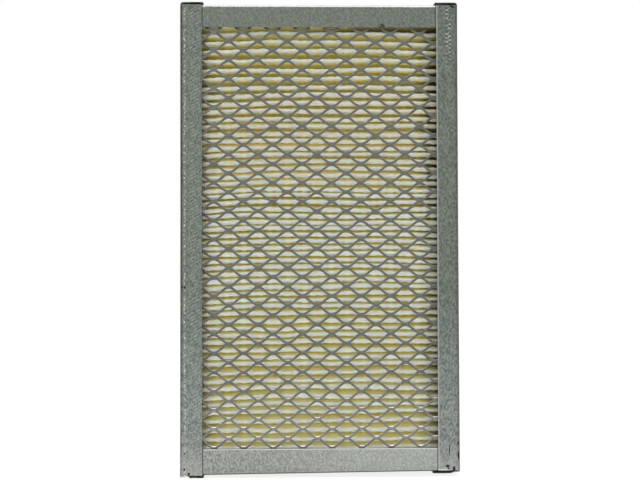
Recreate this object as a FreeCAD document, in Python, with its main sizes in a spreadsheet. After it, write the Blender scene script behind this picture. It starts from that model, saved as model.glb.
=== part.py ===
# Panel air filter for a machine's cab: folded paper between two sheets of raised
# expanded metal, in a frame of four folded galvanised channels. Sizes are in
# millimetres. X runs across the panel, Y from its front face to its back and Z up
# its height. The origin is the middle of the footprint that it stands on.
import FreeCAD, Part
import Sketcher
import math
import os

DRIVING_SIZES = (
    # the frame of four channels
    ("panel_width", 180.0, "outside of one side channel to the outside of the other"),
    ("rail_span", 303.2, "outside of one end rail to the outside of the other"),
    ("panel_depth", 44.0, "front face to back face of the side channels"),
    ("frame_gauge", 0.7, "thickness of the galvanised sheet"),
    ("bend_radius", 1.8, "outside radius of the long folds"),
    ("side_flange", 13.9, "width of a side channel's face"),
    ("top_flange", 14.6, "height of the top end rail's face"),
    ("bottom_flange", 15.8, "height of the bottom end rail's face"),
    ("nest_gap", 0.05, "clearance between one folded sheet and the next"),
    ("tab_length", 15.0, "reach of the tab folded over an end rail"),
    ("tab_rise", 1.2, "space between a top tab and the end rail under it"),
    ("foot_rise", 2.0, "space between a bottom tab and the end rail over it"),
    ("lip_radius", 0.9, "outside radius of the fold at the tab's tip"),
    # the expanded metal
    ("diamond_width", 19.1, "bond to bond across the panel"),
    ("diamond_height", 12.25, "bond to bond up the panel"),
    ("diamond_shift", 1.8, "middle column of bonds, left of the panel's middle"),
    ("bond_drop", 2.7, "highest row of bonds in view, below the top rail's edge"),
    ("bond_length", 3.0, "stretch over which two strands stay joined"),
    ("strand_width", 1.6, "width of one strand"),
    ("strand_gauge", 0.65, "thickness of the expanded sheet"),
    ("strand_tilt", 38.0, "turn of the strands out of the sheet, in degrees"),
    ("side_tuck", 3.0, "furthest column of bonds behind a side flange"),
    ("end_tuck", 7.0, "furthest row of bonds behind an end flange"),
    # the paper pack and the adhesive round it
    ("paper_gauge", 0.5, "thickness of the paper"),
    ("fold_width", 2.5, "height of the rounded tip of a fold, middle of the paper"),
    ("fold_round", 0.8, "rounding of the corners of a tip"),
    ("pitch_middle", 4.15, "pleat pitch half way up, where the pack is tightest"),
    ("pitch_end", 6.2, "pleat pitch at the two ends"),
    ("pitch_power", 1.5, "how steeply the pitch grows towards the ends"),
    ("pleat_lean", 3.9, "sag of the front tips below the back tips"),
    ("lean_start", 14.0, "height over which the sag sets in, from the bottom"),
    ("lean_end", 60.0, "height over which the sag dies away, at the top"),
    ("pack_gap", 0.3, "clearance between the tips and the expanded metal"),
    ("side_bead", 2.2, "thickness of the adhesive on a side channel"),
    ("end_bead", 2.2, "thickness of the adhesive on an end rail"),
)

document = FreeCAD.newDocument("panel_air_filter")
sizes = document.addObject("Spreadsheet::Sheet", "sizes")
for row, (alias, value, meaning) in enumerate(DRIVING_SIZES, start=1):
    sizes.set(f"A{row}", meaning)
    sizes.set(f"B{row}", str(value))
    sizes.setAlias(f"B{row}", alias)
document.recompute()


def size(alias):
    return float(sizes.get(alias))


# Steps of folding a channel

def rectangle(body, name, width, height, place):
    """A rectangle in a level plane, from the corner that place gives."""
    level = next(item for item in body.Origin.OriginFeatures if item.Role == "XY_Plane")
    sketch = body.newObject("Sketcher::SketchObject", name)
    sketch.AttachmentSupport = [(level, "")]
    sketch.MapMode = "FlatFace"
    corners = [FreeCAD.Vector(*corner) for corner in ((0, 0), (2, 0), (2, 1), (0, 1))]
    for side in range(4):
        sketch.addGeometry(Part.LineSegment(corners[side], corners[side - 3]))
    for side in range(4):
        sketch.addConstraint(Sketcher.Constraint("Coincident", side, 2, (side + 1) % 4, 1))
    for side in (0, 2):
        sketch.addConstraint(Sketcher.Constraint("Horizontal", side))
        sketch.addConstraint(Sketcher.Constraint("Vertical", side + 1))
    sketch.addConstraint(Sketcher.Constraint("Coincident", 0, 1, -1, 1))
    for side, label, text in ((0, "width", width), (1, "height", height)):
        constraint = sketch.addConstraint(Sketcher.Constraint("Distance", side, 1.0))
        sketch.renameConstraint(constraint, label)
        sketch.setExpression(f"Constraints.{label}", text)
    for axis, text in zip("xyz", place):
        sketch.setExpression(f"AttachmentOffset.Base.{axis}", text)
    return sketch


def pad(body, name, sketch, length):
    """Add metal upwards from the sketch."""
    feature = body.newObject("PartDesign::Pad", name)
    feature.Profile = sketch
    feature.setExpression("Length", length)
    document.recompute()
    return feature


def pocket(body, name, sketch, depth):
    """Take metal away downwards from the sketch."""
    solid_before = body.Shape.Volume
    feature = body.newObject("PartDesign::Pocket", name)
    feature.Profile = sketch
    feature.setExpression("Length", depth)
    document.recompute()
    if feature.Shape.Volume >= solid_before:
        raise ValueError(f"{name} takes nothing away")
    return feature


def fold(body, name, radius, along, places):
    """Round the straight edges that run along an axis through the places."""
    base = body.Tip
    names = []
    for number, edge in enumerate(base.Shape.Edges, start=1):
        if edge.Curve.TypeId != "Part::GeomLine":
            continue
        middle = (edge.Vertexes[0].Point + edge.Vertexes[-1].Point) / 2
        parallel = abs(getattr(edge.Curve.Direction, along)) > 0.999
        for place in places:
            on_place = all(abs(getattr(middle, axis) - at) < 1e-3 for axis, at in place.items())
            if parallel and on_place:
                names.append(f"Edge{number}")
    if len(names) != len(places):
        raise ValueError(f"{name} finds {len(names)} edges of {len(places)}")
    feature = body.newObject("PartDesign::Fillet", name)
    feature.Base = (base, names)
    feature.setExpression("Radius", radius)
    document.recompute()
    return feature


def channel(label, depth, flange, length, foot):
    """A folded channel that runs up from its foot, with its web on x = 0."""
    body = document.addObject("PartDesign::Body", label)
    body.Label = label
    stock = rectangle(body, label + "_section", flange, depth, ("0", f"-({depth}) / 2", foot))
    pad(body, label + "_blank", stock, length)
    half_depth = stock.Shape.BoundBox.YMax
    outside = [{"x": 0, "y": half_depth}, {"x": 0, "y": -half_depth}]
    fold(body, label + "_outer_folds", "sizes.bend_radius", "z", outside)
    hollow = rectangle(
        body, label + "_hollow_section", flange, f"{depth} - 2 * sizes.frame_gauge",
        ("sizes.frame_gauge", f"-({depth}) / 2 + sizes.frame_gauge", f"{foot} + {length}"))
    pocket(body, label + "_hollow", hollow, length)
    gauge = size("frame_gauge")
    inside = [{"x": gauge, "y": sign * (half_depth - gauge)} for sign in (1, -1)]
    fold(body, label + "_inner_folds", "sizes.bend_radius - sizes.frame_gauge", "z", inside)
    return body


# Side channels: their web runs on past both ends of the flanges and is folded in
# over the outside of the end rail, as a tab with a lip that rests on the rail.

TAB_HEIGHT = "(sizes.frame_gauge + sizes.tab_rise)"
FOOT_HEIGHT = "(sizes.frame_gauge + sizes.foot_rise)"
TAB_DEPTH = "(sizes.panel_depth - 2 * sizes.bend_radius)"
RAIL_TOP = f"({FOOT_HEIGHT} + sizes.rail_span)"


def end_tab(body, name, foot, rise, space_top, outer_z, inner_z):
    """A tab folded from the web between two levels, with its lip."""
    place_y = f"-{TAB_DEPTH} / 2"
    height = f"(sizes.frame_gauge + {rise})"
    tab_fold = f"min(sizes.bend_radius; {height} - sizes.nest_gap)"
    blank = rectangle(body, name + "_section", "sizes.tab_length", TAB_DEPTH, ("0", place_y, foot))
    pad(body, name + "_blank", blank, height)
    tip = size("tab_length")
    fold(body, name + "_outer_fold", tab_fold, "y", [{"x": 0, "z": outer_z}])
    fold(body, name + "_lip_fold", "sizes.lip_radius", "y", [{"x": tip, "z": outer_z}])
    space = rectangle(
        body, name + "_space_section", "sizes.tab_length - 2 * sizes.frame_gauge", TAB_DEPTH,
        ("sizes.frame_gauge", place_y, space_top))
    pocket(body, name + "_space", space, rise)
    gauge = size("frame_gauge")
    inner_fold = f"{tab_fold} - sizes.frame_gauge"
    fold(body, name + "_inner_fold", inner_fold, "y", [{"x": gauge, "z": inner_z}])
    lip_inner = [{"x": tip - gauge, "z": inner_z}]
    fold(body, name + "_inner_lip_fold", "sizes.lip_radius - sizes.frame_gauge", "y", lip_inner)


gauge = size("frame_gauge")
foot_height = gauge + size("foot_rise")
rail_top = foot_height + size("rail_span")
panel_height = rail_top + gauge + size("tab_rise")
for label, sign, turn in (("left_side_channel", "-", 0), ("right_side_channel", "", 180)):
    side_channel = channel(
        label, "sizes.panel_depth", "sizes.side_flange", "sizes.rail_span", FOOT_HEIGHT)
    end_tab(side_channel, label + "_top_tab", RAIL_TOP, "sizes.tab_rise",
            f"{RAIL_TOP} + sizes.tab_rise", panel_height, panel_height - gauge)
    end_tab(side_channel, label + "_bottom_tab", "0", "sizes.foot_rise",
            FOOT_HEIGHT, 0, gauge)
    side_channel.setExpression("Placement.Base.x", f"{sign}sizes.panel_width / 2")
    side_channel.Placement.Rotation = FreeCAD.Rotation(FreeCAD.Vector(0, 0, 1), turn)

# End rails: plain channels that slide between the side channels' flanges and stop
# short of the folds inside their webs.

RAIL_LENGTH = "(sizes.panel_width - 2 * (sizes.bend_radius + sizes.nest_gap))"
RAIL_DEPTH = "(sizes.panel_depth - 2 * (sizes.frame_gauge + sizes.nest_gap))"
for label, flange, turn, start, level in (
        ("bottom_end_rail", "sizes.bottom_flange", -90, f"{RAIL_LENGTH} / 2", FOOT_HEIGHT),
        ("top_end_rail", "sizes.top_flange", 90, f"-{RAIL_LENGTH} / 2", RAIL_TOP)):
    end_rail = channel(label, RAIL_DEPTH, flange, RAIL_LENGTH, "0")
    end_rail.setExpression("Placement.Base.x", start)
    end_rail.setExpression("Placement.Base.z", level)
    end_rail.Placement.Rotation = FreeCAD.Rotation(FreeCAD.Vector(0, 1, 0), turn)

# Where the folded sheets leave room for what they hold

half_width = size("panel_width") / 2
rail_outer_y = size("panel_depth") / 2 - gauge - size("nest_gap")
rail_inner_y = rail_outer_y - gauge
web_bottom = foot_height + gauge
web_top = rail_top - gauge
opening_half_width = half_width - size("side_flange")
opening_bottom = foot_height + size("bottom_flange")
opening_top = rail_top - size("top_flange")

# Expanded metal: a lattice of bonds, two strands wide, joined by single strands.
# Every bond leans forward at its top, so the sheet stands up to its tilt in depth.

strand_width = size("strand_width")
tilt = math.radians(size("strand_tilt"))
up_strand = FreeCAD.Vector(0, -math.sin(tilt), math.cos(tilt))
out_of_strand = FreeCAD.Vector(0, -math.cos(tilt), -math.sin(tilt))
half_gauge = size("strand_gauge") / 2
half_bond = size("bond_length") / 2
grille_depth = 2 * (strand_width * math.sin(tilt) + half_gauge * math.cos(tilt))
column_step = size("diamond_width") / 2
row_step = size("diamond_height") / 2
highest_bond = opening_top - size("bond_drop")


def bonds():
    """Middle of each bond, by its column and row; a row is half a diamond high."""
    reach_x = opening_half_width + size("side_tuck")
    lowest = opening_bottom - size("end_tuck")
    highest = opening_top + size("end_tuck")
    shift = size("diamond_shift")
    first_column = math.ceil((shift - reach_x) / column_step)
    last_column = math.floor((shift + reach_x) / column_step)
    first_row = math.ceil((highest_bond - highest) / row_step)
    last_row = math.floor((highest_bond - lowest) / row_step)
    middles = {}
    for column in range(first_column, last_column + 1):
        for bond_row in range(first_row, last_row + 1):
            if (column + bond_row) % 2 == 0:
                continue
            x = column * column_step - shift
            middles[column, bond_row] = FreeCAD.Vector(x, 0, highest_bond - bond_row * row_step)
    return middles


def end_of_bond(middle, side, low, high):
    """Four corners round one strand, or both, at one end of a bond."""
    end = middle + FreeCAD.Vector(side * half_bond, 0, 0)
    corners = ((low, -1), (low, 1), (high, 1), (high, -1))
    return [end + up_strand * (strand_width * level) + out_of_strand * (half_gauge * face)
            for level, face in corners]


def flat_face(points):
    return Part.Face(Part.makePolygon(points + points[:1]))


def strand_faces(start, finish):
    faces = []
    for corner in range(4):
        following = (corner + 1) % 4
        faces.append(flat_face([start[corner], start[following], finish[following],
                                finish[corner]]))
    return faces


def bond_faces(middle):
    """Front, back, top and bottom of a bond; its ends open into its strands."""
    lower_left, lower_right = (end_of_bond(middle, side, -1, 0) for side in (-1, 1))
    upper_left, upper_right = (end_of_bond(middle, side, 0, 1) for side in (-1, 1))
    faces = []
    for low, high in ((0, 3), (1, 2)):
        faces.append(flat_face([
            lower_left[low], lower_left[high], upper_left[high],
            upper_right[high], lower_right[high], lower_right[low]]))
    faces.append(flat_face([upper_left[2], upper_left[3], upper_right[3], upper_right[2]]))
    faces.append(flat_face([lower_left[0], lower_left[1], lower_right[1], lower_right[0]]))
    return faces


def expanded_metal():
    """One closed sheet; strands cut at its left and right edges end half way."""
    middles = bonds()
    columns = {column for column, _ in middles}
    rows = {bond_row for _, bond_row in middles}
    faces = []
    for (column, bond_row), middle in middles.items():
        faces.extend(bond_faces(middle))
        for side in (-1, 1):
            for climb in (-1, 1):
                low, high = ((0, 1) if climb > 0 else (-1, 0))
                start = end_of_bond(middle, side, low, high)
                if bond_row - climb not in rows:
                    faces.append(flat_face(start))
                    continue
                step = FreeCAD.Vector(side * column_step, 0, climb * row_step)
                finish = end_of_bond(middle + step, -side, low - climb, high - climb)
                if column + side not in columns:
                    cut = [(near + far) / 2 for near, far in zip(start, finish)]
                    faces.extend(strand_faces(start, cut) + [flat_face(cut)])
                elif side > 0:
                    faces.extend(strand_faces(start, finish))
    shell = Part.makeShell(faces)
    shell.sewShape()
    return Part.makeSolid(shell)


grille_shape = expanded_metal()
grille_front_y = -rail_inner_y + size("nest_gap")
for label, turn in (("front_grille", 0), ("back_grille", 180)):
    grille = document.addObject("Part::Feature", label)
    grille.Label = label
    grille.Shape = grille_shape
    spin = FreeCAD.Rotation(FreeCAD.Vector(0, 0, 1), turn)
    seat = FreeCAD.Vector(0, grille_front_y + grille_depth / 2, 0)
    grille.Placement = FreeCAD.Placement(spin.multVec(seat), spin)

# Paper pack: one sheet folded to and fro between the two grilles. The pleats are
# tighter half way up, and their front tips sag below their back tips.

paper_half_gauge = size("paper_gauge") / 2
tip_y = -(grille_front_y + grille_depth + size("pack_gap")) - paper_half_gauge
pack_bottom = web_bottom + size("end_bead") + paper_half_gauge
pack_top = web_top - size("end_bead") - paper_half_gauge


def smooth(share):
    share = min(max(share, 0), 1)
    return share * share * (3 - 2 * share)


def fold_levels():
    """Heights of the folds, bottom to top, before the pack sags."""
    half_height = (pack_top - pack_bottom) / 2
    growth = size("pitch_end") - size("pitch_middle")
    steps = []
    climbed = 0
    while climbed < 2 * half_height:
        off_middle = abs(climbed / half_height - 1)
        steps.append((size("pitch_middle") + growth * off_middle ** size("pitch_power")) / 2)
        climbed += steps[-1]
    if len(steps) % 2:
        steps.pop()
    stretch = 2 * half_height / sum(steps)
    levels = [pack_bottom]
    for step in steps:
        levels.append(levels[-1] + step * stretch)
    return levels


def sag(level):
    """Half of the pack's lean at a height."""
    risen = smooth((level - pack_bottom) / size("lean_start"))
    left = smooth((pack_top - level) / size("lean_end"))
    return risen * left * size("pleat_lean") / 2


def folded_line():
    """Middle line of the paper: a full tip at each fold, and plain ends at the back."""
    levels = fold_levels()
    points = [(tip_y, levels[0])]
    half_fold = size("fold_width") / 2
    inset = size("fold_round")
    for number, level in enumerate(levels[1:-1], start=1):
        outwards = -1 if number % 2 else 1
        tip = outwards * tip_y
        neck = tip - outwards * inset
        z = level + outwards * sag(level)
        points.extend([(neck, z - half_fold), (tip, z - half_fold + inset),
                       (tip, z + half_fold - inset), (neck, z + half_fold)])
    points.append((tip_y, levels[-1]))
    return points


def offset_line(points, distance):
    """The line moved sideways by a distance, with mitred corners."""
    moved = []
    for index, (y, z) in enumerate(points):
        normals = []
        for first, second in ((index - 1, index), (index, index + 1)):
            if first < 0 or second >= len(points):
                continue
            run_y = points[second][0] - points[first][0]
            run_z = points[second][1] - points[first][1]
            run = math.hypot(run_y, run_z)
            normals.append((-run_z / run, run_y / run))
        sum_y = sum(normal[0] for normal in normals)
        sum_z = sum(normal[1] for normal in normals)
        reach = distance * len(normals) / (sum_y ** 2 + sum_z ** 2)
        moved.append((y + sum_y * reach, z + sum_z * reach))
    return moved


pack_half_width = half_width - gauge - size("side_bead")
middle_line = folded_line()
outline = offset_line(middle_line, paper_half_gauge)
outline += reversed(offset_line(middle_line, -paper_half_gauge))
section = flat_face([FreeCAD.Vector(-pack_half_width, y, z) for y, z in outline])
pack = document.addObject("Part::Feature", "pleated_pack")
pack.Label = "pleated_pack"
pack.Shape = section.extrude(FreeCAD.Vector(2 * pack_half_width, 0, 0))
pack.Placement = FreeCAD.Placement()

# Adhesive: a bead between each edge of the pack and the web of its channel.

PACK_DEPTH = f"{2 * (tip_y + paper_half_gauge)}"
WEB_SPAN = "(sizes.rail_span - 2 * sizes.frame_gauge)"
PACK_WIDTH = "(sizes.panel_width - 2 * (sizes.frame_gauge + sizes.side_bead))"
WEB_BOTTOM = f"({FOOT_HEIGHT} + sizes.frame_gauge)"
BEADS = (
    ("left_adhesive_bead", "sizes.side_bead", WEB_SPAN,
     "sizes.frame_gauge - sizes.panel_width / 2", WEB_BOTTOM),
    ("right_adhesive_bead", "sizes.side_bead", WEB_SPAN,
     "sizes.panel_width / 2 - sizes.frame_gauge - sizes.side_bead", WEB_BOTTOM),
    ("bottom_adhesive_bead", PACK_WIDTH, "sizes.end_bead", f"-{PACK_WIDTH} / 2", WEB_BOTTOM),
    ("top_adhesive_bead", PACK_WIDTH, "sizes.end_bead", f"-{PACK_WIDTH} / 2",
     f"{WEB_BOTTOM} + {WEB_SPAN} - sizes.end_bead"),
)
for label, across, upwards, x, z in BEADS:
    bead = document.addObject("Part::Box", label)
    bead.Label = label
    bead.setExpression("Length", across)
    bead.setExpression("Width", PACK_DEPTH)
    bead.setExpression("Height", upwards)
    bead.setExpression("Placement.Base.x", x)
    bead.setExpression("Placement.Base.y", f"-{PACK_DEPTH} / 2")
    bead.setExpression("Placement.Base.z", z)

# Check every object, then write one file for each piece

document.recompute()
for item in document.Objects:
    if "Invalid" in item.State or "Error" in item.State:
        raise ValueError(f"{item.Label} is {item.State}")
NODES = (
    "left_side_channel", "right_side_channel", "bottom_end_rail", "top_end_rail",
    "front_grille", "back_grille", "pleated_pack", "left_adhesive_bead",
    "right_adhesive_bead", "bottom_adhesive_bead", "top_adhesive_bead",
)
pieces = {name: document.getObjectsByLabel(name)[0].Shape for name in NODES}
for name, shape in pieces.items():
    if shape.isNull() or not shape.isValid() or len(shape.Solids) != 1:
        raise ValueError(f"{name} is not one valid solid")
os.makedirs("parts", exist_ok=True)
for name, shape in pieces.items():
    shape.exportStep(f"parts/{name}.step")
    box = shape.BoundBox
    print(f"{name}: {shape.Volume:.0f} mm3, x {box.XMin:.2f} to {box.XMax:.2f}, "
          f"y {box.YMin:.2f} to {box.YMax:.2f}, z {box.ZMin:.2f} to {box.ZMax:.2f}")
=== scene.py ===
import math
import bmesh
import bpy
from mathutils import Matrix, Vector, noise


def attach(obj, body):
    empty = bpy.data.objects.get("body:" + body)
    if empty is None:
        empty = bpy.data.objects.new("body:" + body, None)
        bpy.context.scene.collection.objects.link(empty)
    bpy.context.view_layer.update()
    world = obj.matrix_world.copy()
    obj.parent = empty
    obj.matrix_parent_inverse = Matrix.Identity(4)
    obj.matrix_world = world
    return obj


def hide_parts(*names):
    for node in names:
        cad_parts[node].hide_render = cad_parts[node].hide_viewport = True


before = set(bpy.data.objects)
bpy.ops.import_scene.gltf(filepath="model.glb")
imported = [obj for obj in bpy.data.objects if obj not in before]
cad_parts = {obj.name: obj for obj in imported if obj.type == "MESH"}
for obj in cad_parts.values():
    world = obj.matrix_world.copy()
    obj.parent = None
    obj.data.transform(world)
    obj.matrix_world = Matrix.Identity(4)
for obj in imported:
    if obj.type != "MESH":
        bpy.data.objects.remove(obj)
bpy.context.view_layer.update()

# Pleated pack. One sheet of cream filter paper, embossed with fine ripples and folded
# to and fro some sixty times between the two metal sheets. Its folds are full and
# round, sag a little at the front and are never quite alike.


class Value:
    """A socket of a finish's nodes. Sums with it add Math nodes."""

    def __init__(self, finish, socket):
        self.finish = finish
        self.socket = socket

    def sum_of(self, operation, first, second):
        return self.finish.node("Math", {"operation": operation}, {0: first, 1: second})

    def __add__(self, other):
        return self.sum_of("ADD", self, other)

    def __sub__(self, other):
        return self.sum_of("SUBTRACT", self, other)

    def __rsub__(self, other):
        return self.sum_of("SUBTRACT", other, self)

    def __mul__(self, other):
        return self.sum_of("MULTIPLY", self, other)

    def __abs__(self):
        return self.sum_of("ABSOLUTE", self, 0)

    __radd__ = __add__
    __rmul__ = __mul__


class Finish:
    """A material with one Principled shader, and the nodes that feed it."""

    def __init__(self, name, **plain):
        self.material = bpy.data.materials.new(name)
        self.material.use_nodes = True
        self.tree = self.material.node_tree
        self.shader = self.tree.nodes["Principled BSDF"]
        for socket, value in plain.items():
            self.shader.inputs[socket.replace("_", " ")].default_value = value
        self.place = self.node("TexCoord", output="Object")
        self.tone = None

    def node(self, kind, settings=None, inputs=None, output=0):
        made = self.tree.nodes.new("ShaderNode" + kind)
        for name, value in (settings or {}).items():
            setattr(made, name, value)
        for name, value in (inputs or {}).items():
            self.feed(made.inputs[name], value)
        return Value(self, made.outputs[output])

    def feed(self, socket, value):
        if isinstance(value, Value):
            self.tree.links.new(value.socket, socket)
        else:
            socket.default_value = value

    def set(self, socket, value):
        self.feed(self.shader.inputs[socket], value)

    def axes(self):
        """The place's three parts: across, deep and up, in metres."""
        split = self.node("SeparateXYZ", inputs={0: self.place}).socket.node
        return [Value(self, output) for output in split.outputs]

    def stretched(self, scale, turn=(0, 0, 0)):
        return self.node("Mapping", inputs={"Vector": self.place, "Scale": scale,
                                            "Rotation": turn})

    def grain(self, scale, detail=2, place=None, rough=0.5):
        return self.node("TexNoise", inputs={"Vector": place or self.place, "Scale": scale,
                                             "Detail": detail, "Roughness": rough})

    def between(self, value, low, high, start=0, end=1):
        """Ease from start to end while the value goes from low to high."""
        return self.node("MapRange", {"interpolation_type": "SMOOTHSTEP"},
                         {0: value, 1: low, 2: high, 3: start, 4: end})

    def mix(self, share, first, second, blend="MIX"):
        """Blend two tones; 6 and 7 are the node's inputs for colour, and 2 its output."""
        first, second = ((*tone, 1) if isinstance(tone, tuple) else tone
                         for tone in (first, second))
        return self.node("Mix", {"data_type": "RGBA", "blend_type": blend},
                         {0: share, 6: first, 7: second}, output=2)

    def lay(self, share, tone, blend="MIX"):
        """Lay a tone over what the finish has so far."""
        self.tone = self.mix(share, self.tone, tone, blend)

    def bump(self, height, distance, strength=1.0):
        self.set("Normal", self.node("Bump", inputs={
            "Height": height, "Distance": distance, "Strength": strength}))


def add_piece(name, shape, finishes, node, sharp=35):
    """Turn a shape into an object that stands for a CAD node."""
    bmesh.ops.recalc_face_normals(shape, faces=shape.faces)
    mesh = bpy.data.meshes.new(name)
    shape.to_mesh(mesh)
    shape.free()
    mesh.polygons.foreach_set("use_smooth", [True] * len(mesh.polygons))
    mesh.set_sharp_from_angle(angle=math.radians(sharp))
    for finish in finishes:
        mesh.materials.append(finish.material)
    item = bpy.data.objects.new(name, mesh)
    bpy.context.scene.collection.objects.link(item)
    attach(item, "root")
    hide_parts(node)


# Sizes are in millimetres and places in a finish in metres. MM turns one into the other.
MM = 0.001
paper_finish = Finish("cream_filter_paper", Roughness=0.85, Emission_Strength=1,
                      Subsurface_Weight=0.75, Subsurface_Radius=(1.0, 0.9, 0.6),
                      Subsurface_Scale=0.0018)
across, deep, up = paper_finish.axes()
ripple_shade = paper_finish.grain(1, 3, paper_finish.stretched((640, 30, 120)))
fibre = paper_finish.grain(2600, 3)
blotch = paper_finish.grain(55, 2)

# Painted shade by depth behind the face in millimetres: white at the tips and yellow darkening
# into the folds.
# Painted light lifts the folds low down, in the middle and in a band of the upper part, where the
# tips are a little darker and a tan painted backlight lies deep in the folds.
depth = abs(deep) * 1000 + (ripple_shade - 0.5) * 4
tip_share = paper_finish.between(depth, 14.6, 17.7)
neck_share = paper_finish.between(depth, 2.0, 12.0)
lit_low = paper_finish.between(up, 0.1, 0.04, 0, 0.35)
lit_middle = paper_finish.between(abs(across), 0.05, 0.02, 0, 0.2)
painted_light_band = paper_finish.between(up, 0.183, 0.2) * paper_finish.between(up, 0.268, 0.238)
painted_light_band = painted_light_band * paper_finish.between(across, 0.07, 0.01, 0.45, 0.8)
backlight_tan_share = painted_light_band * paper_finish.between(depth, 15.5, 12.5)
tip_tone = paper_finish.mix(painted_light_band, (0.67, 0.705, 0.635), (0.585, 0.615, 0.555))
paper_finish.tone = paper_finish.mix(neck_share, (0.66, 0.565, 0.17), (0.75, 0.66, 0.29))
paper_finish.lay(lit_low, (0.74, 0.69, 0.42))
paper_finish.lay(painted_light_band + lit_middle, (0.9, 0.8, 0.44))
paper_finish.lay(backlight_tan_share, (0.9, 0.787, 0.57))
paper_finish.lay(tip_share, tip_tone)

# Painted shade by the side of a fold: on the undersides high up and the tops low down, which turn
# away.
under = paper_finish.node("Attribute", {"attribute_name": "under"}, output="Fac")
painted_shade_high = under * paper_finish.between(up, 0.13, 0.27, 0, 0.42)
painted_shade_low = (1 - under) * paper_finish.between(up, 0.17, 0.04, 0, 0.32)
paper_finish.lay(painted_shade_high, (0.64, 0.58, 0.37))
paper_finish.lay(painted_shade_low, (0.5, 0.475, 0.3))
paper_finish.lay(blotch * 0.2, (0.62, 0.59, 0.4))
fibre_tone = paper_finish.mix(fibre * 0.6 + ripple_shade * 0.4,
                              (0.35, 0.35, 0.35), (0.65, 0.65, 0.65))
paper_finish.lay(0.35, fibre_tone, "SOFT_LIGHT")

# Shade under the top rail and beside the two side channels.
below_rail = paper_finish.between(up, 0.2886, 0.2899)
below_rail = below_rail * paper_finish.between(across, -0.03, 0.05, 0.1, 0.75)
left_shade = paper_finish.between(across, -0.066, -0.08, 0, 0.42)
right_shade = paper_finish.between(across, 0.062, 0.08) * (0.68 - 0.16 * tip_share)
edge_shade = left_shade + right_shade
paper_finish.lay(below_rail, (0.1, 0.075, 0.02))
paper_finish.lay(edge_shade, (0.085, 0.066, 0.015))
paper_finish.set("Base Color", paper_finish.tone)

# Painted light: the folds glow for daylight that comes through the thin paper into them.
daylight = paper_finish.between(depth, 17.3, 13.5) * (1 - edge_shade * 1.6 - below_rail)
daylight_tone = paper_finish.mix(painted_light_band, (0.046, 0.045, 0.01), (0.065, 0.062, 0.02))
daylight_tone = paper_finish.mix(backlight_tan_share, daylight_tone, (0.089, 0.079, 0.051))
paper_finish.set("Emission Color", paper_finish.mix(daylight, (0, 0, 0), daylight_tone))
paper_finish.bump(fibre * 0.4 + ripple_shade, 0.00025, 0.6)

pack_bottom = 5.85
pack_top = 302.75
pack_half_width = 87.1
tip_depth = 17.46
pitch_middle = 4.15
pitch_end = 6.2
pitch_power = 1.5
fold_half_height = 1.15
fold_round = 0.85
paper_gauge = 0.5
pleat_lean = 3.9
lean_start = 14
lean_end = 60
fold_drift = 1.1
tip_drift = 0.35
width_drift = 0.2
sag_left = 3
sag_right = 0.6
ripple_pitch = 5.6
ripple_height = 0.26
rippled_from = 9
pack_columns = 100


def smooth_step(share):
    share = min(max(share, 0), 1)
    return share * share * (3 - 2 * share)


def wander(x, y, z):
    return noise.noise(Vector((x, y, z)))


# Heights at which the sheet turns: tight in the middle and wider towards both ends
half_height = (pack_top - pack_bottom) / 2
fold_steps = []
climbed = 0
while climbed < 2 * half_height:
    off_middle = abs(climbed / half_height - 1) ** pitch_power
    fold_steps.append((pitch_middle + (pitch_end - pitch_middle) * off_middle) / 2)
    climbed += fold_steps[-1]
if len(fold_steps) % 2:
    fold_steps.pop()
stretch = 2 * half_height / sum(fold_steps)
fold_levels = [pack_bottom]
for step in fold_steps:
    fold_levels.append(fold_levels[-1] + step * stretch)

# Rows of the sheet: depth, height, side of the fold and the way that it points
fold_rows = [(tip_depth, pack_bottom, 0, 0)]
for number, level in enumerate(fold_levels[1:-1], start=1):
    outwards = -1 if number % 2 else 1
    lean = pleat_lean / 2 * smooth_step((level - pack_bottom) / lean_start)
    lean *= smooth_step((pack_top - level) / lean_end)
    level += outwards * lean + fold_drift * wander(level * 0.14, 4.2, outwards)
    tip = outwards * (tip_depth - tip_drift * abs(wander(level * 0.7, 9.1, 0)))
    half = fold_half_height + width_drift * wander(level * 0.9, 1.7, 3)
    for inset, side in ((fold_round, -1), (0, -1), (0, 1), (fold_round, 1)):
        height = half - (0 if inset else fold_round * 0.8)
        fold_rows.append((tip - outwards * inset, level + side * height, side, outwards))
fold_rows.append((tip_depth, pack_top, 0, 0))

paper = bmesh.new()
under_layer = paper.verts.layers.float.new("under")
bmesh.ops.create_grid(paper, x_segments=pack_columns, y_segments=len(fold_rows) - 1, size=0.5)
for vert in paper.verts:
    x = vert.co.x * 2 * pack_half_width
    y, z, side, outwards = fold_rows[round((vert.co.y + 0.5) * (len(fold_rows) - 1))]
    vert[under_layer] = 0.5 - 0.5 * side
    if side:
        phase = 2 * math.pi * x / ripple_pitch + 1.5 * wander(x / 40, z / 30, 0)
        swell = ripple_height * math.sin(phase) * (0.6 + 0.8 * abs(wander(x / 20, z / 9, 5)))
        inside = smooth_step((z - pack_bottom) / rippled_from)
        inside *= smooth_step((pack_top - z) / rippled_from)
        from_middle = x / pack_half_width
        bow = -sag_left * max(0, -from_middle - 0.35) ** 1.5
        bow -= sag_right * max(0, from_middle - 0.4)
        z += (bow + 1.3 * wander(x / 55, z / 16, 7) + 0.5 * wander(x / 20, z / 6, 2)) * inside
        z -= outwards * side * swell
        y -= outwards * abs(swell) * 0.6
    vert.co = Vector((x, y, z)) * MM
paper.normal_update()
for vert in paper.verts:
    vert.co -= vert.normal * paper_gauge / 2 * MM
bmesh.ops.solidify(paper, geom=paper.faces[:], thickness=-paper_gauge * MM)
add_piece("pleated_paper", paper, (paper_finish,), "pleated_pack", 60)

# Adhesive. A bead of hard pale resin along each edge of the pack, run into the
# channels while it is soft, so that no air passes round the paper.

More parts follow.
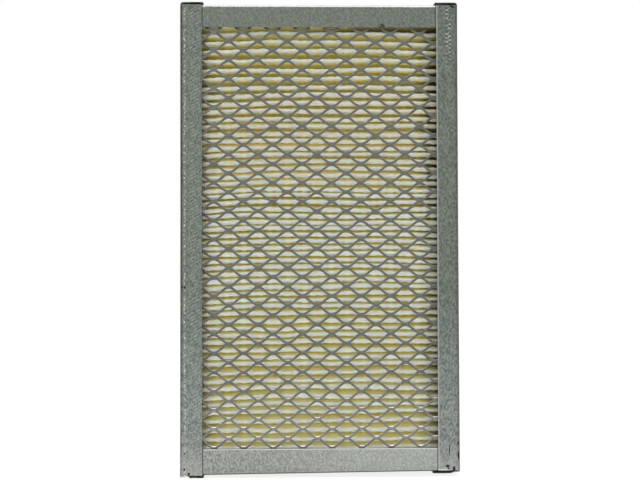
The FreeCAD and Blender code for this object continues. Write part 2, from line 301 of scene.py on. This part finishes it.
adhesive_finish = Finish("pale_resin", Roughness=0.5)
adhesive_flow = adhesive_finish.grain(130, 4)
adhesive_finish.set("Base Color", adhesive_finish.mix(
    adhesive_flow, (0.62, 0.58, 0.44), (0.74, 0.71, 0.6)))
adhesive_finish.bump(adhesive_flow, 0.0006)
for bead in ("left", "right", "bottom", "top"):
    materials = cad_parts[bead + "_adhesive_bead"].data.materials
    materials.clear()
    materials.append(adhesive_finish.material)

# Expanded metal, one sheet in front of the pack and one behind. A galvanised sheet is
# slit and pulled open into eye-shaped holes, which leaves every bond tilted forward
# at its top. Its edges are cut with shears and lie loose under the frame's flanges.

column_step = 19.1 / 2
row_step = 12.25 / 2
lattice_shift = 1.8
lattice_columns = range(-9, 10)
lattice_rows = range(-2, 48)
highest_bond = 288.6
notch = 1.6
upper_notch = 0.55 * notch
strand_width = 1.55
slant_height = 1.4
strand_gauge = 0.65
strand_steps = 5
tilt = math.radians(38)
bond_reach_x = 79.0
bond_lowest = 11.5
bond_highest = 298.3
front_trim = 291.5
grille_face = 20.5
sheet_sway = 0.25
corner_slack = 1.15


def strand_unit():
    """Half of one strand, from the middle of its bond to its own middle."""
    unit = bmesh.new()
    bmesh.ops.create_grid(unit, x_segments=strand_steps, y_segments=1, size=0.5)
    flat_height = strand_width * math.cos(tilt)
    for vert in unit.verts:
        along = (vert.co.x + 0.5) * strand_steps
        level = vert.co.y + 0.5
        run = max(0, (along - 1) / (strand_steps - 1))
        start = notch if level < 0.5 else upper_notch
        x = start * min(along, 1) + (column_step / 2 - start) * run
        climb = 0.9 * run + 0.1 * run * run if level < 0.5 else 0.5 * run + 0.5 * run * run
        middle = row_step / 2 + (level - 0.5) * slant_height
        z = level * flat_height + (middle - level * flat_height) * climb
        y = -level * strand_width * math.sin(tilt) + strand_width * math.sin(tilt) / 2 * run
        vert.co = (x, y, z)
    return unit


def expanded_sheet(trim):
    """The lattice as a sheet of no thickness, cut off level at the trim if there is one."""
    mesh = bpy.data.meshes.new("strand")
    unit = strand_unit()
    quarter = unit.verts[:] + unit.edges[:] + unit.faces[:]
    bmesh.ops.mirror(unit, geom=quarter, axis="X", merge_dist=1e-5)
    half = unit.verts[:] + unit.edges[:] + unit.faces[:]
    copy = bmesh.ops.duplicate(unit, geom=half)["geom"]
    turned = [item for item in copy if isinstance(item, bmesh.types.BMVert)]
    bmesh.ops.rotate(unit, verts=turned, cent=(0, 0, 0),
                     matrix=Matrix.Rotation(math.pi, 3, "X"))
    bmesh.ops.remove_doubles(unit, verts=unit.verts, dist=1e-4)
    unit.to_mesh(mesh)
    unit.free()
    sheet = bmesh.new()
    for row in lattice_rows:
        for column in lattice_columns:
            middle = Vector((column * column_step - lattice_shift, 0,
                             highest_bond - row * row_step))
            if (column + row) % 2 == 0 or not bond_lowest - 1 < middle.z < bond_highest:
                continue
            if abs(middle.x) > bond_reach_x + 1:
                continue
            first = len(sheet.verts)
            sheet.from_mesh(mesh)
            sheet.verts.ensure_lookup_table()
            bmesh.ops.translate(sheet, verts=sheet.verts[first:], vec=middle)
    bpy.data.meshes.remove(mesh)
    bmesh.ops.remove_doubles(sheet, verts=sheet.verts, dist=1e-3)
    if trim:
        whole = sheet.verts[:] + sheet.edges[:] + sheet.faces[:]
        bmesh.ops.bisect_plane(sheet, geom=whole, plane_co=(0, 0, trim), plane_no=(0, 0, 1),
                               clear_outer=True, dist=1e-4)
    return sheet


def off_bond(finish, across):
    """How far a place is from the middle of its column of bonds, in column steps."""
    columns_over = (across * 1000 + lattice_shift) * (1 / column_step) + 0.5
    return abs(finish.node("Math", {"operation": "FRACT"}, {0: columns_over}) - 0.5)


# The faces: dull zinc, made paler low down by painted light from the floor, with painted
# highlights on the bonds low down, painted light high up by the left channel, and a painted shadow
# where the sheet goes under the top rail.
mesh_finish = Finish("galvanised_mesh", Metallic=0.35, Roughness=0.5)
across, _, up = mesh_finish.axes()
spangle = mesh_finish.grain(1, 3, mesh_finish.stretched((700, 700, 900), (0, 0.6, 0)))
pits = mesh_finish.grain(1500, 2)
low_corners = mesh_finish.between(abs(across), 0.055, 0.07, 0, 0.2)
low_corners = low_corners * mesh_finish.between(up, 0.07, 0.05)
low_share = mesh_finish.between(up, 0.075, 0.012, 0, 0.5) + low_corners
lit_bond = mesh_finish.between(off_bond(mesh_finish, across), 0.2, 0.1)
lit_bond = lit_bond * mesh_finish.between(up, 0.06, 0.02, 0, 0.36)
lit_corner = mesh_finish.between(across, -0.055, -0.072) * mesh_finish.between(up, 0.19, 0.24)
painted_rail_shadow = mesh_finish.between(up, 0.2903, 0.2907)
mesh_finish.tone = mesh_finish.mix(spangle, (0.07, 0.074, 0.065), (0.2, 0.209, 0.187))
mesh_finish.lay(low_share, (0.3, 0.295, 0.28))
mesh_finish.lay(lit_bond, (0.42, 0.415, 0.39))
mesh_finish.lay(lit_corner * 0.5, (0.2, 0.21, 0.188))
mesh_finish.lay(painted_rail_shadow, (0.004, 0.004, 0.003))
mesh_finish.set("Base Color", mesh_finish.tone)
mesh_finish.set("Roughness", mesh_finish.between(spangle, 0.3, 0.7, 0.4, 0.62))
mesh_finish.bump(spangle + pits * 0.5, 0.00012)

# The sheared upper edges of the strands, with painted light low down and a painted highlight at
# each bond.
sheared_finish = Finish("sheared_strand_edge", Metallic=0.3, Roughness=0.45)
across, _, up = sheared_finish.axes()
sheared_grain = sheared_finish.grain(1400, 2)
sheared_low = sheared_finish.between(up, 0.1, 0.02)
painted_bond_highlight = sheared_finish.between(off_bond(sheared_finish, across), 0.18, 0.12) * sheared_low
sheared_finish.tone = sheared_finish.mix(
    sheared_low, sheared_finish.mix(sheared_grain, (0.07, 0.075, 0.066), (0.2, 0.21, 0.19)),
    sheared_finish.mix(sheared_grain, (0.18, 0.175, 0.165), (0.38, 0.37, 0.35)))
sheared_finish.lay(painted_bond_highlight, (0.85, 0.82, 0.79))
sheared_finish.set("Base Color", sheared_finish.tone)
sheared_finish.bump(sheared_grain, 0.0001)

for label, node, turn, trim in (
        ("front_expanded_metal", "front_grille", 0, front_trim),
        ("back_expanded_metal", "back_grille", math.pi, None)):
    sheet = expanded_sheet(trim)
    for vert in sheet.verts:
        x, _, z = vert.co
        sway = sheet_sway * wander(x / 60, 3.3, z / 60)
        slack = corner_slack * smooth_step((x + 10) / 60) * smooth_step((z - 262) / 28)
        vert.co += Vector((sway, 0, 0.6 * sway - slack))
    bmesh.ops.recalc_face_normals(sheet, faces=sheet.faces)
    bmesh.ops.solidify(sheet, geom=sheet.faces[:], thickness=strand_gauge)
    sheet.normal_update()
    for face in sheet.faces:
        face.material_index = int(face.normal.z > 0.6)
    front = min(vert.co.y for vert in sheet.verts)
    for vert in sheet.verts:
        vert.co = (vert.co + Vector((0, -grille_face - front, 0))) * MM
    bmesh.ops.rotate(sheet, verts=sheet.verts, cent=(0, 0, 0),
                     matrix=Matrix.Rotation(turn, 3, "Z"))
    add_piece(label, sheet, (mesh_finish, sheared_finish), node, 40)

# Frame. Four channels folded from galvanised sheet: two end rails, and two side channels
# whose webs run on and are folded in over the rails as tabs. The zinc is dull and
# mottled, scored by the rollers, and rusty where the sheet is cut or sharply bent. The dark of
# the tabs' cut edges is partly painted shade, and painted light and shade lie along the folds and
# edges.

frame_gauge = 0.7
fold_radius = 1.8
half_panel = 90.0
panel_height = 307.8
rail_bottom = 2.7
rail_top = 305.9
face_depth = 20
bend_steps = 4
web_steps = 8
tab_steps = 6
rust = (0.016, 0.009, 0.005)


def zinc(name, high, low, grain_scales):
    """A mottled finish with a dark and a pale tone for high up and a pair for low down; paler low
    tones stand for painted light from below.
    """
    finish = Finish(name, Metallic=0.6, Roughness=0.5)
    across, deep, up = finish.axes()
    grains = [finish.grain(1, 3, finish.stretched(scale, (0, turn, 0)), 0.6)
              for scale, turn in grain_scales]
    grain = grains[0] * 0.5 + grains[1] * 0.5
    share = finish.between(grain, 0.37, 0.64)
    finish.tone = finish.mix(finish.between(up, 0.13, 0.01),
                             finish.mix(share, *high), finish.mix(share, *low))
    finish.set("Roughness", finish.between(grain, 0.3, 0.7, 0.42, 0.6))
    finish.bump(grain, 0.0002)
    return finish, (across, deep, up)


def lay_marks(finish, axes, marks, tone):
    """Oval marks, soft at their edges, on the front face: middle and half sizes of each."""
    across, deep, up = axes
    for x, z, half_wide, half_high in marks:
        reach_x = (across - x * MM) * (1 / (half_wide * MM))
        reach_z = (up - z * MM) * (1 / (half_high * MM))
        near = finish.between(reach_x * reach_x + reach_z * reach_z, 1.5, 0.5)
        finish.lay(near * finish.between(deep, -0.0205, -0.0212), tone)


def channel_section(flange, depth, flange_steps):
    """The outside of a channel's section, from one flange's edge round to the other's."""
    half = depth / 2
    straight = half - fold_radius
    turns = [math.pi / 2 * step / bend_steps for step in range(1, bend_steps)]
    side = [(flange + (fold_radius - flange) * step / flange_steps, half)
            for step in range(flange_steps + 1)]
    side += [(fold_radius - fold_radius * math.sin(turn), straight + fold_radius * math.cos(turn))
             for turn in turns]
    web = [(0, straight * (1 - 2 * step / web_steps)) for step in range(web_steps + 1)]
    front = [(x, -y) for x, y in side]
    return front + [(x, -y) for x, y in web] + side[::-1]


def folded_channel(section, rows, end_low, end_high):
    """A strip folded to a section; its ends follow the two functions of x and y."""
    strip = bmesh.new()
    columns = len(section) - 1
    bmesh.ops.create_grid(strip, x_segments=columns, y_segments=rows, size=0.5)
    ends = {0: [], rows: []}
    for vert in strip.verts:
        x, y = section[round((vert.co.x + 0.5) * columns)]
        row = round((vert.co.y + 0.5) * rows)
        if row in ends and x == 0:
            ends[row].append(vert)
        low, high = end_low(x, y), end_high(x, y)
        vert.co = (x, y, low + (high - low) * row / rows)
    return strip, ends


def edges_among(verts):
    chosen = set(verts)
    edges = {edge for vert in verts for edge in vert.link_edges}
    return [edge for edge in edges if chosen.issuperset(edge.verts)]


def fold_tab(strip, verts, sense, outer, bend, reach, lip, lip_end):
    """Bend the web's end inwards, run it out, and bend its tip towards the rail."""
    def swing(edges, x, z):
        done = bmesh.ops.spin(strip, geom=edges, axis=(0, 1, 0), cent=(x, 0, z),
                              angle=sense * math.pi / 2, steps=bend_steps)["geom_last"]
        return [item for item in done if isinstance(item, bmesh.types.BMEdge)]

    def run_out(edges, step):
        done = bmesh.ops.extrude_edge_only(strip, edges=edges)["geom"]
        moved = [item for item in done if isinstance(item, bmesh.types.BMVert)]
        bmesh.ops.translate(strip, verts=moved, vec=step)
        return edges_among(moved)

    edge = swing(edges_among(verts), bend, outer - sense * bend)
    for _ in range(tab_steps):
        edge = run_out(edge, ((reach - bend - lip) / tab_steps, 0, 0))
    edge = swing(edge, reach - lip, outer - sense * lip)
    run_out(edge, (0, 0, lip_end - outer + sense * lip))


def finish_channel(name, strip, to_world, worn, finishes, node, is_tab=None):
    """Place the folded strip, wear it, and give it its thickness and its tabs' dark edges."""
    bmesh.ops.transform(strip, matrix=to_world, verts=strip.verts)
    for vert in strip.verts:
        vert.co += Vector(worn(*vert.co))
    strip.normal_update()
    to_own = to_world.inverted()
    web = min(strip.faces, key=lambda face: (to_own @ face.calc_center_median()).x)
    hollow = to_world @ Vector((10, 0, 150))  # a point inside the channel
    if web.normal.dot(hollow - web.calc_center_median()) > 0:
        bmesh.ops.reverse_faces(strip, faces=strip.faces)
    outside = set(strip.verts)
    bmesh.ops.solidify(strip, geom=strip.faces[:], thickness=frame_gauge)
    for face in strip.faces:
        outer_corners = sum(vert in outside for vert in face.verts)
        if is_tab and 0 < outer_corners < len(face.verts) and is_tab(face.calc_center_median()):
            face.material_index = 1
    bmesh.ops.scale(strip, verts=strip.verts, vec=(MM, MM, MM))
    add_piece(name, strip, finishes, node, 32)


# Cut edges of the tabs: rust, darkened towards black as painted shade, with patches of bare metal.
edge_finish = Finish("rusty_shaded_cut_edge", Roughness=0.8)
edge_rust = edge_finish.grain(900, 3)
bare_share = edge_finish.between(edge_finish.grain(160, 2), 0.54, 0.62)
edge_finish.tone = edge_finish.mix(edge_finish.between(edge_rust, 0.35, 0.7),
                                   (0.012, 0.009, 0.007), (0.09, 0.055, 0.035))
edge_finish.lay(bare_share * 0.7, (0.3, 0.26, 0.21))
edge_finish.set("Base Color", edge_finish.tone)
edge_finish.bump(edge_rust, 0.0003)

# The end rails slide between the side channels' flanges. The top one's long outer fold carries
# a painted highlight, and the bottom one is folded a little out of line.

top_flange = 14.6
bottom_flange = 15.8
rail_depth = 42.5
rail_half_length = 88.15
rail_rows = 90
foot_slope = 0.0137
sloped_height = 12
rail_grain = (((1400, 1400, 800), 0.12), ((760, 760, 500), -0.1))
top_tones = ((0.078, 0.092, 0.073), (0.175, 0.195, 0.165))
# The bottom rail's tones are paler than the top rail's: painted light from below.
bottom_tones = ((0.13, 0.145, 0.13), (0.36, 0.385, 0.355))


def dirt_and_shade_at_ends(finish, across):
    """The rail is dark where it goes under the side channels: dirt, and painted shade at the seam.
    """
    finish.lay(finish.between(abs(across), 0.0751, 0.0760) * 0.85, (0.03, 0.032, 0.028))
    finish.set("Base Color", finish.tone)


top_zinc, axes = zinc("top_rail_zinc", top_tones, top_tones, rail_grain)
across, _, up = axes
# Painted highlight along the top rail's rounded outer fold, broken into streaks.
streaks = top_zinc.grain(1, 2, top_zinc.stretched((900, 900, 60)))
painted_bend_highlight = top_zinc.between(up + streaks * 0.0006, 0.30455, 0.3049)
painted_bend_highlight = painted_bend_highlight * top_zinc.between(streaks, 0.25, 0.5, 0.45, 1)
top_zinc.lay(painted_bend_highlight, (0.3, 0.33, 0.33))
# A row of short dark marks that turns back on itself
dark_rail_marks = ((40.4, 293.4, 0.8, 0.5), (41.2, 292.7, 0.8, 0.5), (42.1, 292.0, 0.8, 0.5),
           (40.2, 291.5, 1.6, 0.5))
lay_marks(top_zinc, axes, dark_rail_marks, (0.016, 0.012, 0.008))
dirt_and_shade_at_ends(top_zinc, across)

bottom_zinc, (across, _, up) = zinc("bottom_rail_zinc", bottom_tones, bottom_tones, rail_grain)
# Painted light and shade along the edges: a painted highlight on the upper cut edge, a pale
# painted highlight above the lower fold and a painted dark line along it, where the zinc is also
# made less metallic. The rail is also paler towards the right.
over_edge = up - across * 0.0106
painted_low_shade = bottom_zinc.between(over_edge, 0.0037, 0.0034)
bottom_zinc.lay(bottom_zinc.between(across, -0.06, 0.05, 0, 0.3), (0.42, 0.44, 0.41))
bottom_zinc.lay(bottom_zinc.between(up, 0.01775, 0.0182) * 0.7, (0.62, 0.64, 0.6))
bottom_zinc.lay(bottom_zinc.between(over_edge, 0.0046, 0.0038) * 0.35, (0.5, 0.48, 0.42))
bottom_zinc.lay(painted_low_shade * 0.9, (0.035, 0.027, 0.022))
bottom_zinc.set("Metallic", 0.6 - painted_low_shade * 0.55)
dirt_and_shade_at_ends(bottom_zinc, across)


def rail_wear(x, y, z):
    """The bottom rail's lower edge slopes, and the faces of both ripple a little."""
    slope = foot_slope * x * max(0, 1 - z / sloped_height)
    ripple = 0.1 * wander(x / 30, z / 20, 3) if abs(y) > face_depth else 0
    return (0, ripple, slope)


for name, node, flange, level, sense, finish in (
        ("bottom_rail", "bottom_end_rail", bottom_flange, rail_bottom, 1, bottom_zinc),
        ("top_rail", "top_end_rail", top_flange, rail_top, -1, top_zinc)):
    strip, _ = folded_channel(channel_section(flange, rail_depth, 6), rail_rows,
                              lambda x, y: -rail_half_length, lambda x, y: rail_half_length)
    along_x = Matrix(((0, 0, 1, 0), (0, 1, 0, 0), (sense, 0, 0, level), (0, 0, 0, 1)))
    finish_channel(name, strip, along_x, rail_wear, (finish,), node)

# The side channels reach over the rails' ends. The rollers have scored them, the left
# one's bottom corner is torn down beside its notch, and the right one is pitted at the
# top, dented at the bottom, and its foot stands a little short.

side_flange = 13.9
side_depth = 44.0
side_rows = 110
tab_reach = 15.0
tab_lip = 0.9
tab_lip_end = rail_top + 0.05
tab_level = 306.2
foot_level = 1.0
rust_and_shade_from = -84.5
back_low = 1.9
slant_grain = (((1300, 1300, 750), 0.75), ((760, 760, 520), -0.7))
side_high = ((0.062, 0.074, 0.06), (0.175, 0.2, 0.172))
# The low pair is paler: painted light from below.
side_low = ((0.095, 0.107, 0.099), (0.285, 0.31, 0.293))
shadow_line = (0.012, 0.009, 0.007)


def level_between(x, points):
    """Height at x on a line of straight runs."""
    for (x0, z0), (x1, z1) in zip(points, points[1:]):
        if x <= x1:
            return z0 + (z1 - z0) * max(0, x - x0) / (x1 - x0)
    return points[-1][1]


def side_wear(side):
    """The web leans out low down, the faces ripple, and the corners are dented or bent."""
    def dent(x, z, middle_x, middle_z, half_wide, half_high):
        return math.exp(-((x - middle_x) / half_wide) ** 2 - ((z - middle_z) / half_high) ** 2)

    def worn(x, y, z):
        on_face = abs(y) > face_depth
        out = push = rise = 0
        if abs(x) > 88.5:
            out = (0.35 * max(0, 1 - z / 170) + (0.1 if side < 0 else 0)) * side
        if on_face:
            push = 0.14 * wander(x / 22, z / 30, side)
        if on_face and side > 0 and y < 0:
            push += 0.55 * dent(x, z, 83.6, 15, 2.2, 4.5)
            push += 0.5 * dent(x, z, 86.0, 304.6, 1.6, 2.0)
        if side < 0 and -89 < x < -85 and -21 < y < -12 and z < 1.2:
            rise = 1.7
        if side > 0 and -21 < y < -12 and z < 3.0:
            rise = 0.95 * smooth_step((x - 84.5) / 3)
        return (out, push, rise)
    return worn


def side_zinc(side, name, marks):
    """The zinc of one side channel with its stains, roller marks and rust spots, and painted shade
    and light on its fold, foot and lower face.
    """
    finish, axes = zinc(name, side_high, side_low, slant_grain)
    across, deep, up = axes
    front = finish.between(deep, -0.0205, -0.0215)
    fold_x = abs(across) * 1000
    # Painted shade on the outer fold of the front face.
    bent = finish.between(fold_x, 88.6, 89.3) * front
    broken = finish.grain(420, 2)
    if side < 0:
        finish.lay(bent * finish.between(up, 0.04, 0.19, 0.1, 0.8), (0.07, 0.05, 0.04))
        near_fold = finish.between(abs(fold_x - 87.3), 0.75, 0.3) * front
        flecks = finish.grain(1, 2, finish.stretched((1000, 1000, 700), (0, -0.8, 0)))
        finish.lay(near_fold * finish.between(flecks, 0.52, 0.6), (0.42, 0.46, 0.44))
        scored = finish.between(abs(fold_x - 80.6), 4.6, 2.6) * front * 0.2
        strokes = finish.node("TexWave", {"bands_direction": "Z"}, {
            "Vector": finish.stretched((1, 1, 1), (0, 0.5, 0)), "Scale": 160.0,
            "Distortion": 3.0, "Detail": 2.0, "Detail Scale": 2.0}, output="Fac")
        foot_edge = finish.between(fold_x, 85.0, 84.4) * front
        foot_edge = foot_edge * finish.between(up, 0.0019, 0.0017)
    else:
        finish.lay(bent * 0.5, (0.16, 0.135, 0.1))
        rim = finish.between(abs(fold_x - 76.5), 0.5, 0.3) * front
        finish.lay(rim * 0.5, (0.4, 0.43, 0.4))
        scored = finish.between(abs(fold_x - 83.8), 2.3, 1.3) * front
        scored = scored * finish.between(up, 0.25, 0.29)
        to_and_fro = finish.node("Math", {"operation": "PINGPONG"},
                                 {0: up + broken * 0.003, 1: 0.0013})
        off_stroke = abs(across - to_and_fro * 2.6 - 0.0822) + (broken - 0.5) * 0.0016
        strokes = finish.between(off_stroke, 0.0015, 0.0001)
        foot_edge = finish.between(fold_x, 89.5, 88.5) * front
        bright_lip = finish.between(up, 0.0052, 0.0048) * foot_edge
        bright_lip = bright_lip * finish.between(fold_x, 83.6, 82.8)
        foot_edge = foot_edge * finish.between(up, 0.0043, 0.0040)
    light_stroke = finish.between(strokes, 0.62, 0.9) * finish.between(broken, 0.42, 0.56)
    finish.lay(light_stroke * scored, (0.47, 0.51, 0.48))
    finish.lay(finish.between(strokes, 0.3, 0.12) * scored * 0.6, (0.05, 0.055, 0.05))
    # Painted light from below makes the front face paler at its foot.
    finish.lay(finish.between(up, 0.024, 0.004, 0, 0.3) * front, (0.46, 0.45, 0.41))
    if side > 0:
        finish.lay(bright_lip * 0.7, (0.62, 0.62, 0.58))
    finish.lay(foot_edge, shadow_line)
    lay_marks(finish, axes, marks, rust)
    finish.set("Base Color", finish.tone)
    return finish


# Rust spots and pits, and on the right one the painted shadow of the low dent at 83.4 across:
# middle across and up, then half width and half height
left_marks = ((-87.5, 15.9, 0.45, 0.7), (-87.6, 5.8, 0.5, 1.1), (-84.6, 3.0, 0.7, 0.8),
              (-87.1, 122.6, 0.6, 1.1), (-89.0, 122.9, 0.8, 0.4))
right_marks = ((86.4, 305.0, 1.2, 0.7), (87.2, 304.2, 0.8, 0.5), (83.0, 305.4, 0.4, 0.4),
               (82.2, 6.9, 1.3, 0.9), (82.7, 5.3, 0.6, 0.6), (86.3, 5.0, 0.9, 1.9),
               (83.4, 17.1, 0.35, 3.0), (89.2, 13.6, 0.6, 2.6), (89.2, 21.8, 0.5, 1.0))
# Lower edge of each front face, from the fold inwards: distance from it and height
left_low = ((1.0, 1.1), (2.8, 1.4), (3.8, 2.3), (5.6, 2.6), (6.2, 1.5), (13.9, 1.4))
right_low = ((1.0, 3.6), (3.2, 3.7), (4.6, 4.4), (5.4, 3.3), (13.9, 3.4))
for side, name, marks, front_low, foot, foot_bend, foot_lip, foot_lip_end, foot_reach in (
        (-1, "left", left_marks, left_low, 0.0, 1.8, 0.9, 1.75, 15.0),
        (1, "right", right_marks, right_low, 2.0, 0.9, 0.5, 3.4, 17.4)):
    finish = side_zinc(side, name + "_channel_zinc", marks)

    def end_low(x, y):
        if x == 0:
            return foot + foot_bend
        return level_between(x, front_low) if y < 0 else back_low

    def end_high(x, y):
        return panel_height - fold_radius if x == 0 else rail_top

    def is_tab(centre):
        return centre.x > rust_and_shade_from and not foot + foot_level < centre.z < tab_level

    strip, ends = folded_channel(channel_section(side_flange, side_depth, 9), side_rows,
                                 end_low, end_high)
    fold_tab(strip, ends[0], -1, foot, foot_bend, foot_reach, foot_lip, foot_lip_end)
    fold_tab(strip, ends[side_rows], 1, panel_height, fold_radius, tab_reach, tab_lip, tab_lip_end)
    to_world = Matrix(((-side, 0, 0, side * half_panel), (0, 1, 0, 0), (0, 0, 1, 0), (0, 0, 0, 1)))
    finish_channel(name + "_channel", strip, to_world, side_wear(side), (finish, edge_finish),
                   name + "_side_channel", is_tab)

# Studio. A white floor that keeps a faint shadow, a white sky for the camera, soft
# light from above, behind and the front, and a camera almost square to the panel's face.

floor_shape = bmesh.new()
bmesh.ops.create_grid(floor_shape, x_segments=1, y_segments=1, size=6)
floor_mesh = bpy.data.meshes.new("floor")
floor_shape.to_mesh(floor_mesh)
floor_shape.free()
floor_finish = Finish("white_floor", Roughness=0.9)
floor_finish.set("Base Color", (0.85, 0.85, 0.85, 1))
rays = floor_finish.node("LightPath").socket.node.outputs
seen = floor_finish.node("Math", {"operation": "MAXIMUM"}, {
    0: Value(floor_finish, rays["Is Camera Ray"]),
    1: Value(floor_finish, rays["Is Glossy Ray"])})
across, deep, up = floor_finish.axes()
glow_share = floor_finish.between(across * across + deep * deep, 0.1, 0.9, 0.78, 1)
glow = floor_finish.node("Emission", inputs={"Color": (1, 1, 1, 1), "Strength": 1.07})
blend = floor_finish.node("MixShader", inputs={
    0: seen * glow_share, 1: Value(floor_finish, floor_finish.shader.outputs[0]), 2: glow})
floor_finish.feed(floor_finish.tree.nodes["Material Output"].inputs["Surface"], blend)
floor_mesh.materials.append(floor_finish.material)
floor = bpy.data.objects.new("floor", floor_mesh)
bpy.context.scene.collection.objects.link(floor)

world = bpy.data.worlds.new("studio")
bpy.context.scene.world = world
world.use_nodes = True
sky = world.node_tree
ambient = sky.nodes["Background"]
ambient.inputs["Color"].default_value = (1, 1, 1, 1)
ambient.inputs["Strength"].default_value = 0.35
white = sky.nodes.new("ShaderNodeBackground")
white.inputs["Color"].default_value = (1, 1, 1, 1)
white.inputs["Strength"].default_value = 1.0
path = sky.nodes.new("ShaderNodeLightPath")
choose = sky.nodes.new("ShaderNodeMixShader")
sky.links.new(path.outputs["Is Camera Ray"], choose.inputs[0])
sky.links.new(ambient.outputs[0], choose.inputs[1])
sky.links.new(white.outputs[0], choose.inputs[2])
sky.links.new(choose.outputs[0], sky.nodes["World Output"].inputs["Surface"])

for name, place, target, size_x, size_y, power in (
        ("top_light", (0, -0.2, 1.3), (0, 0, 0.2), 1.2, 0.8, 22),
        ("back_light", (0.9, 2.2, 0.5), (0, 0, 0.15), 1.4, 1.0, 16),
        ("front_light", (-0.4, -2.4, 0.15), (0, 0, 0.12), 1.8, 1.2, 30)):
    lamp = bpy.data.lights.new(name, "AREA")
    lamp.shape = "RECTANGLE"
    lamp.size = size_x
    lamp.size_y = size_y
    lamp.energy = power
    lamp_object = bpy.data.objects.new(name, lamp)
    lamp_object.location = place
    aim = Vector(target) - Vector(place)
    lamp_object.rotation_euler = aim.to_track_quat("-Z", "Y").to_euler()
    bpy.context.scene.collection.objects.link(lamp_object)

camera_data = bpy.data.cameras.new("camera")
camera_data.sensor_width = 36
camera_data.sensor_fit = "HORIZONTAL"
camera_data.lens = 80.81
camera = bpy.data.objects.new("camera", camera_data)
camera_place = (-0.02906, -0.95, 0.13135)
yaw, pitch, roll = (math.radians(angle) for angle in (1.797, 1.342, -0.172))
sight = Vector((math.sin(yaw) * math.cos(pitch), math.cos(yaw) * math.cos(pitch),
                math.sin(pitch)))
level_right = Vector((math.cos(yaw), -math.sin(yaw), 0))
level_up = level_right.cross(sight)
right = math.cos(roll) * level_right + math.sin(roll) * level_up
top = math.cos(roll) * level_up - math.sin(roll) * level_right
camera.matrix_world = Matrix.Translation(camera_place) @ Matrix(
    (right, top, -sight)).transposed().to_4x4()
bpy.context.scene.collection.objects.link(camera)
bpy.context.scene.camera = camera
bpy.context.scene.view_settings.view_transform = "Standard"
